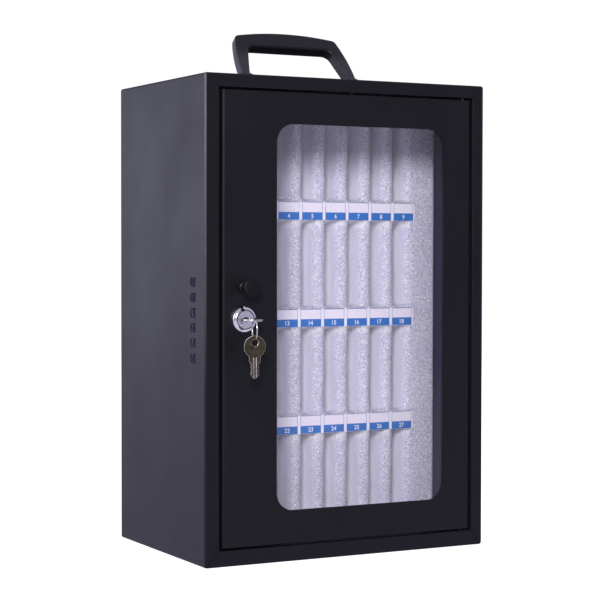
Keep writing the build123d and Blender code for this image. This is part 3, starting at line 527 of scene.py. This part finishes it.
def moulded_plastic(name, dark, light, roughness, gloss, grain_scale, relief, leg_sheen_below=0.0):
    """Moulded black plastic: a fine spark-eroded grain, and roughness that varies where hands rub.
    Given a height, a painted sheen makes the plastic greyer below it, on the handle's legs."""
    material, tree, shader, output, place = start_material(name)
    grain = noise(tree, place, grain_scale, 2.0, 0.6)
    rubbed = noise(tree, place, 45.0, 3.0, 0.5)
    colour = blend_colours(tree, rubbed, dark, light)
    if leg_sheen_below:
        axes = add_node(tree, "ShaderNodeSeparateXYZ", {0: place}).outputs
        # painted sheen: the legs are painted greyer, where they catch more light than the grip
        leg_sheen = smooth_step(tree, times(tree, axes[2], -1.0), -leg_sheen_below, -leg_sheen_below + grip_fade)
        colour = blend_colours(tree, leg_sheen, colour, (0.028, 0.027, 0.033, 1))
    put(tree, shader.inputs["Base Color"], colour)
    put(tree, shader.inputs["Roughness"], between(tree, rubbed, 0.3, 0.7, roughness, roughness + 0.10))
    shader.inputs["Specular IOR Level"].default_value = gloss
    shader.inputs["Specular Tint"].default_value = (0.95, 0.94, 1.0, 1)
    bump(tree, shader, grain, relief, 0.00015)
    return material


def white_foam():
    """White closed-cell foam: cells of a millimetre or so, a skin at the front with painted glints in
    single bright cells, and smoother walls inside the cut slots that are painted whiter further in as
    painted light."""
    material, tree, shader, output, place = start_material("white_cell_foam")
    axes = add_node(tree, "ShaderNodeSeparateXYZ", {0: place}).outputs
    cell = add_node(tree, "ShaderNodeTexVoronoi", {"Vector": place, "Scale": 1200.0, "Randomness": 1.0})
    cells = cell.outputs["Distance"]
    chance = add_node(tree, "ShaderNodeSeparateXYZ", {0: cell.outputs["Color"]}).outputs
    small = noise(tree, place, 1900.0, 2.0, 0.6)
    cloud = noise(tree, place, 60.0, 3.0, 0.6)
    skin = smooth_step(tree, times(tree, axes[1], -1.0), 6.0 * mm, 13.5 * mm)
    # painted glints: single cells in the skin are painted near white and a little glossier, standing in
    # for light caught by cell walls
    bright_cell = smooth_step(tree, chance[0], 0.72, 0.92)
    dark_cell = smooth_step(tree, chance[1], 0.60, 0.95)
    glint = times(tree, bright_cell, skin)
    shade = times(tree, dark_cell, times(tree, skin, 0.8))
    wall = blend_colours(tree, cloud, (0.70, 0.67, 0.76, 1), (0.76, 0.725, 0.82, 1))
    # painted light: the slot walls are painted whiter further in, against the shade deep in the slots
    deep_painted_light = smooth_step(tree, axes[1], -9.0 * mm, 6.0 * mm)
    wall = blend_colours(tree, deep_painted_light, wall, painted_light_white)
    face = blend_colours(tree, cloud, (0.62, 0.595, 0.70, 1), (0.69, 0.665, 0.77, 1))
    forward = times(tree, axes[1], -1.0)
    front = smooth_step(tree, forward, -foam_front - 4.0 * mm, -foam_front - 0.3 * mm)
    body = blend_colours(tree, front, wall, face)
    half_strip = (strip_boxes[1][1][0] - strip_boxes[1][0][0]) / 2
    under_strip = calculate(tree, "LESS_THAN", calculate(tree, "ABSOLUTE", axes[0]), half_strip)
    for strip_low, strip_high in strip_boxes.values():
        # painted light: the lip just below a strip is painted near white, against the shade the strip
        # casts
        foot = strip_low[2]
        rise = smooth_step(tree, axes[2], foot - 11.0 * mm, foot - 2.0 * mm)
        lip_painted_light = times(tree, rise, calculate(tree, "LESS_THAN", axes[2], foot + 2.0 * mm))
        body = blend_colours(tree, times(tree, lip_painted_light, under_strip), body, painted_light_white)
    body = blend_colours(tree, shade, body, (0.36, 0.35, 0.45, 1))
    put(tree, shader.inputs["Base Color"], blend_colours(tree, glint, body, (1.0, 0.99, 1.0, 1)))
    put(tree, shader.inputs["Roughness"], between(tree, glint, 0.0, 1.0, 0.75, 0.30))
    shader.inputs["Subsurface Weight"].default_value = 0.85
    shader.inputs["Subsurface Radius"].default_value = (0.009, 0.009, 0.010)
    shader.inputs["Subsurface Scale"].default_value = 1.0
    cell_relief = times(tree, cells, between(tree, skin, 0.0, 1.0, 0.2, 1.0))
    bump(tree, shader, calculate(tree, "ADD", cell_relief, times(tree, small, 0.35)), 0.60, 0.0007)
    return material


def label_card(name, centre_x, bottom, top, top_line):
    """A printed card with nine labels side by side: each has a blue band below and a white field
    above with a thin blue line round it, and white card shows between the labels."""
    material, tree, shader, output, place = start_material(name)
    axes = add_node(tree, "ShaderNodeSeparateXYZ", {0: place}).outputs
    first_label = slot_columns / 2 - centre_x / slot_pitch
    along = calculate(tree, "MULTIPLY_ADD", axes[0], 1 / slot_pitch, first_label)
    share = calculate(tree, "ABSOLUTE", calculate(tree, "SUBTRACT", calculate(tree, "FRACT", along), 0.5))
    across = times(tree, share, slot_pitch)
    below_top = calculate(tree, "SUBTRACT", top, axes[2])
    in_label = calculate(tree, "LESS_THAN", across, label_width / 2)
    in_band = calculate(tree, "LESS_THAN", axes[2], bottom + label_foot + label_band_height)
    above_foot = calculate(tree, "GREATER_THAN", axes[2], bottom + label_foot)
    band = times(tree, times(tree, in_label, in_band), above_foot)
    side_line = calculate(tree, "GREATER_THAN", across, label_width / 2 - 0.45 * mm)
    upper_line = calculate(tree, "LESS_THAN", below_top, top_line)
    line = times(tree, calculate(tree, "MAXIMUM", side_line, upper_line), in_label)
    fibre = noise(tree, place, 700.0, 3.0, 0.6)
    field = blend_colours(tree, fibre, (0.95, 0.87, 0.93, 1), (1.0, 0.92, 0.97, 1))
    bare = blend_colours(tree, fibre, (0.96, 0.91, 0.97, 1), (1.0, 0.96, 1.0, 1))
    card = blend_colours(tree, in_label, bare, field)
    with_line = blend_colours(tree, times(tree, line, 0.9), card, (0.13, 0.19, 0.46, 1))
    ink = blend_colours(tree, fibre, (0.018, 0.155, 0.50, 1), (0.031, 0.200, 0.60, 1))
    put(tree, shader.inputs["Base Color"], blend_colours(tree, band, with_line, ink))
    put(tree, shader.inputs["Roughness"], between(tree, fibre, 0.3, 0.7, 0.28, 0.42))
    bump(tree, shader, fibre, 0.08, 0.0001)
    return material


def digit_ink():
    """White print in the labels' blue bands, a little uneven at its edges."""
    material, tree, shader, output, place = start_material("white_digits")
    fleck = noise(tree, place, 1600.0, 2.0, 0.6)
    colour = blend_colours(tree, fleck, (0.90, 0.90, 0.96, 1), (0.98, 0.98, 1.0, 1))
    put(tree, shader.inputs["Base Color"], colour)
    put(tree, shader.inputs["Roughness"], between(tree, fleck, 0.3, 0.7, 0.35, 0.45))
    return material


def clear_pane():
    """Clear acrylic sheet: it lets light through in straight lines, and has a faint haze of fine
    rubbing marks in its roughness."""
    material, tree, shader, output, place = start_material("clear_acrylic")
    marks = noise(tree, place, 90.0, 3.0, 0.6, (1.0, 1.0, 0.25))
    shader.inputs["Base Color"].default_value = (0.96, 0.96, 0.99, 1)
    shader.inputs["Transmission Weight"].default_value = 1.0
    shader.inputs["IOR"].default_value = 1.45
    put(tree, shader.inputs["Roughness"], between(tree, marks, 0.35, 0.75, 0.0, 0.035))
    straight = add_node(tree, "ShaderNodeBsdfTransparent", {0: (0.93, 0.93, 0.96, 1)})
    rays = add_node(tree, "ShaderNodeLightPath")
    passing = calculate(tree, "MAXIMUM", rays.outputs["Is Shadow Ray"], rays.outputs["Is Diffuse Ray"])
    chosen = add_node(
        tree, "ShaderNodeMixShader", {0: passing, 1: shader.outputs[0], 2: straight.outputs[0]}
    )
    tree.links.new(chosen.outputs[0], output.inputs[0])
    return material


def soften_edges(piece, name, width, segments, degrees):
    """Joins a solid's doubled points and rounds its edges that turn by more than this angle."""
    weld = piece.modifiers.new("join_edges", "WELD")
    weld.merge_threshold = 0.01 * mm
    rounding = piece.modifiers.new(name, "BEVEL")
    rounding.width = width
    rounding.segments = segments
    rounding.limit_method = "ANGLE"
    rounding.angle_limit = math.radians(degrees)
    return rounding


def give(material, *names):
    """These CAD nodes take this material."""
    for name in names:
        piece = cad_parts[name]
        piece.data.materials.clear()
        piece.data.materials.append(material)


# ------------------------------------------------------------------ foam insert
foam = white_foam()


def foam_piece(piece, *nodes):
    """A soft piece that stands for these CAD solids and goes with the cabinet."""
    piece.data.materials.append(foam)
    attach(piece, "cabinet")
    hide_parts(*nodes)


foam_piece(foam_block(), "foam_shelves", *[f"foam_ribs_row_{row}" for row in rows])
back_low, back_high = backing_box
back_slab = slab(back_high[0], back_low[1], back_high[1], back_low[2], back_high[2], 0.5 * mm, 0.4)
foam_piece(mesh_from_arrays("foam_back_slab", *back_slab), "foam_backing")

# ------------------------------------------------------------------ number strips
digits = digit_ink()


def number_row(row):
    """The nine numbers of a row, as flat figures a few hundredths of a millimetre proud of the card."""
    low, high = strip_boxes[row]
    centre = (low[0] + high[0]) / 2
    parts = []
    for column in range(slot_columns):
        curve = bpy.data.curves.new(f"number_{row}_{column}", "FONT")
        curve.body = str((row - 1) * slot_columns + column + 1)
        curve.align_x = "CENTER"
        curve.align_y = "CENTER"
        curve.size = digit_height / 0.7
        curve.offset = 0.025 * digit_height
        curve.extrude = digit_lift
        curve.resolution_u = 3
        holder = bpy.data.objects.new(curve.name, curve)
        bpy.context.scene.collection.objects.link(holder)
        letters = bpy.data.meshes.new_from_object(holder)
        points = np.zeros(len(letters.vertices) * 3, np.float32)
        letters.vertices.foreach_get("co", points)
        points = points.reshape(-1, 3)
        middle = (points.min(axis=0) + points.max(axis=0)) / 2
        points = (points - middle) * (digit_height / np.ptp(points[:, 1]))
        x = centre + (column - (slot_columns - 1) / 2) * slot_pitch
        z = low[2] + label_foot + label_band_height / 2
        placed = np.stack(
            [x + points[:, 0], low[1] - digit_lift - points[:, 2], z + points[:, 1]], axis=1
        )
        faces = [list(face.vertices) for face in letters.polygons]
        parts.append((placed, faces))
        bpy.data.objects.remove(holder)
        bpy.data.curves.remove(curve)
        bpy.data.meshes.remove(letters)
    piece = mesh_from_arrays(f"numbers_row_{row}", *joined(parts), smooth=False)
    piece.data.materials.append(digits)
    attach(piece, "cabinet")


for row in rows:
    strip_low, strip_high = strip_boxes[row]
    line_width = 0.8 * mm if row == 2 else 0.55 * mm
    middle = (strip_low[0] + strip_high[0]) / 2
    print_name = f"label_print_{row}"
    give(label_card(print_name, middle, strip_low[2], strip_high[2], line_width), f"label_strip_row_{row}")
    number_row(row)

# ------------------------------------------------------------------ finishes of the other pieces
give(powder_coat("cabinet_powder_coat", False), "body_shell", "back_panel")
give(powder_coat("door_powder_coat", True), "door_panel")
give(
    steel_finish("black_oxide_steel", (0.030, 0.030, 0.034, 1), (0.060, 0.060, 0.064, 1), 0.34),
    "hinge_pin_top",
    "hinge_pin_bottom",
    "handle_brackets",
    "handle_pins",
    "bracket_rivets",
)
give(
    steel_finish("bright_zinc", (0.56, 0.57, 0.58, 1), (0.70, 0.70, 0.69, 1), 0.22),
    "pane_clips",
    "clip_nuts",
    "lock_cam",
    "cam_screw",
    "knob_screw",
)
give(lock_chrome("housing_chrome", 8.15 * mm, 9.10 * mm, False), "lock_housing", "lock_nut")
give(lock_chrome("plug_chrome", 8.1 * mm, 9.5 * mm, True), "lock_plug")
bright_edge = key_nickel("key_bright_edge", (0.95, 0.91, 0.87, 1), (0.84, 0.79, 0.74, 1), 0.38)
give(key_nickel("key_bright_nickel", (0.66, 0.64, 0.62, 1), (0.50, 0.47, 0.43, 1), 0.20), "key_in_lock")
give(key_nickel("key_warm_nickel", (0.100, 0.077, 0.052, 1), (0.058, 0.044, 0.029, 1), 0.28), "spare_key")
for key_name in ("key_in_lock", "spare_key"):
    # the stamped edges are worn round and bright, and their pale colour is also a painted highlight
    key_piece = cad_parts[key_name]
    key_piece.data.materials.append(bright_edge)
    soften_edges(key_piece, "worn_highlight_edges", 0.70 * mm, 3, 40).material = 1
give(spring_wire(), "key_ring")
handle_dark = (0.0060, 0.0058, 0.0075, 1)
handle_light = (0.0090, 0.0085, 0.0110, 1)
give(
    moulded_plastic("handle_plastic", handle_dark, handle_light, 0.32, 0.22, 1500.0, 0.20, grip_foot),
    "handle_grip",
)
soften_edges(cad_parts["handle_grip"], "moulded_edges", 2.0 * mm, 4, 32)
knob_dark = (0.0030, 0.0030, 0.0038, 1)
knob_light = (0.0046, 0.0046, 0.0055, 1)
give(moulded_plastic("knob_plastic", knob_dark, knob_light, 0.42, 0.17, 2200.0, 0.10), "knob")
give(clear_pane(), "window_pane")

# ------------------------------------------------------------------ floor, light and camera


def stage_floor():
    """A pale plain floor that goes on well past the picture, and is white to the camera."""
    reach = 6.0
    points = reach * np.array([[-1, -1, 0], [1, -1, 0], [1, 1, 0], [-1, 1, 0]], float)
    points[:, 2] = -0.2 * mm
    floor = mesh_from_arrays("studio_floor", points, [[0, 1, 2, 3]], smooth=False)
    material, tree, shader, output, place = start_material("pale_floor")
    shader.inputs["Base Color"].default_value = (0.80, 0.80, 0.81, 1)
    shader.inputs["Roughness"].default_value = 0.9
    shader.inputs["Specular IOR Level"].default_value = 0.1
    rays = add_node(tree, "ShaderNodeLightPath").outputs
    seen = calculate(tree, "MAXIMUM", rays["Is Camera Ray"], rays["Is Transmission Ray"])
    shader.inputs["Emission Color"].default_value = (1, 1, 1, 1)
    put(tree, shader.inputs["Emission Strength"], times(tree, seen, 0.78))
    # in gloss the floor is as dim on the camera's side as the room is
    depth = add_node(tree, "ShaderNodeSeparateXYZ", {0: place}).outputs[1]
    mirror_level = between(tree, depth, -2.5, -0.2, near_gloss, 0.80)
    mirrored = add_node(tree, "ShaderNodeEmission", {0: cool_gloss, 1: mirror_level})
    choice = {0: rays["Is Glossy Ray"], 1: shader.outputs[0], 2: mirrored.outputs[0]}
    chosen = add_node(tree, "ShaderNodeMixShader", choice)
    tree.links.new(chosen.outputs[0], output.inputs[0])
    floor.data.materials.append(material)


def stage_world():
    """White to the camera, a cool tint to gloss that is dimmer on the camera's own side of the
    room, and a soft cool grey light on everything else."""
    world = bpy.data.worlds.new("studio_world")
    bpy.context.scene.world = world
    world.use_nodes = True
    tree = world.node_tree
    tree.nodes.clear()
    rays = add_node(tree, "ShaderNodeLightPath").outputs
    direction = add_node(tree, "ShaderNodeTexCoord").outputs["Generated"]
    depth = add_node(tree, "ShaderNodeSeparateXYZ", {0: direction}).outputs[1]
    gloss_level = between(tree, depth, -0.45, 0.45, near_gloss, 1.0)
    gloss = calculate(tree, "MAXIMUM", rays["Is Glossy Ray"], rays["Is Transmission Ray"])
    above_fill = calculate(tree, "SUBTRACT", gloss_level, room_fill)
    soft = calculate(tree, "MULTIPLY_ADD", gloss, above_fill, room_fill)
    level = calculate(tree, "MAXIMUM", soft, times(tree, rays["Is Camera Ray"], 1.03))
    tint = blend_colours(tree, rays["Is Camera Ray"], cool_gloss, (1.0, 1.0, 1.0, 1))
    background = add_node(tree, "ShaderNodeBackground", {0: tint, 1: level})
    output = tree.nodes.new("ShaderNodeOutputWorld")
    tree.links.new(background.outputs[0], output.inputs[0])


def soft_lamp(name, place, target, width, height, power, colour=(1, 1, 1)):
    """A rectangular lamp at a place, facing a target."""
    lamp_data = bpy.data.lights.new(name, "AREA")
    lamp_data.shape = "RECTANGLE"
    lamp_data.size = width
    lamp_data.size_y = height
    lamp_data.energy = power
    lamp_data.color = colour
    lamp = bpy.data.objects.new(name, lamp_data)
    lamp.location = place
    aim = np.array(target, float) - np.array(place, float)
    flat = math.hypot(aim[0], aim[1])
    lamp.rotation_euler = (math.atan2(flat, -aim[2]), 0, math.atan2(-aim[0], aim[1]))
    bpy.context.scene.collection.objects.link(lamp)


stage_floor()
stage_world()
soft_lamp("key_softbox", (-1.25, -2.10, 1.15), (0, 0, 0.24), 0.65, 0.65, 58.0)
soft_lamp("side_softbox", (-2.3, 0.3, 1.0), (0, 0, 0.2), 1.2, 1.6, 17.5, (0.83, 0.82, 1.0))
soft_lamp("back_softbox", (1.3, 1.9, 1.4), (0, 0, 0.3), 1.2, 1.2, 12.0)
soft_lamp("far_left_softbox", (-1.35, 2.2, 0.40), (0, 0, 0.25), 1.2, 0.7, 3.5, (0.84, 0.82, 1.0))

camera_data = bpy.data.cameras.new("studio_camera")
camera_data.lens = 107.06
camera_data.sensor_width = 36.0
camera_data.clip_start = 0.05
camera = bpy.data.objects.new("studio_camera", camera_data)
camera.location = (-0.82679, -1.56521, 0.29120)
camera.rotation_euler = (math.radians(88.339), math.radians(-0.091), math.radians(-27.84))
bpy.context.scene.collection.objects.link(camera)
bpy.context.scene.camera = camera
bpy.context.scene.view_settings.view_transform = "Standard"
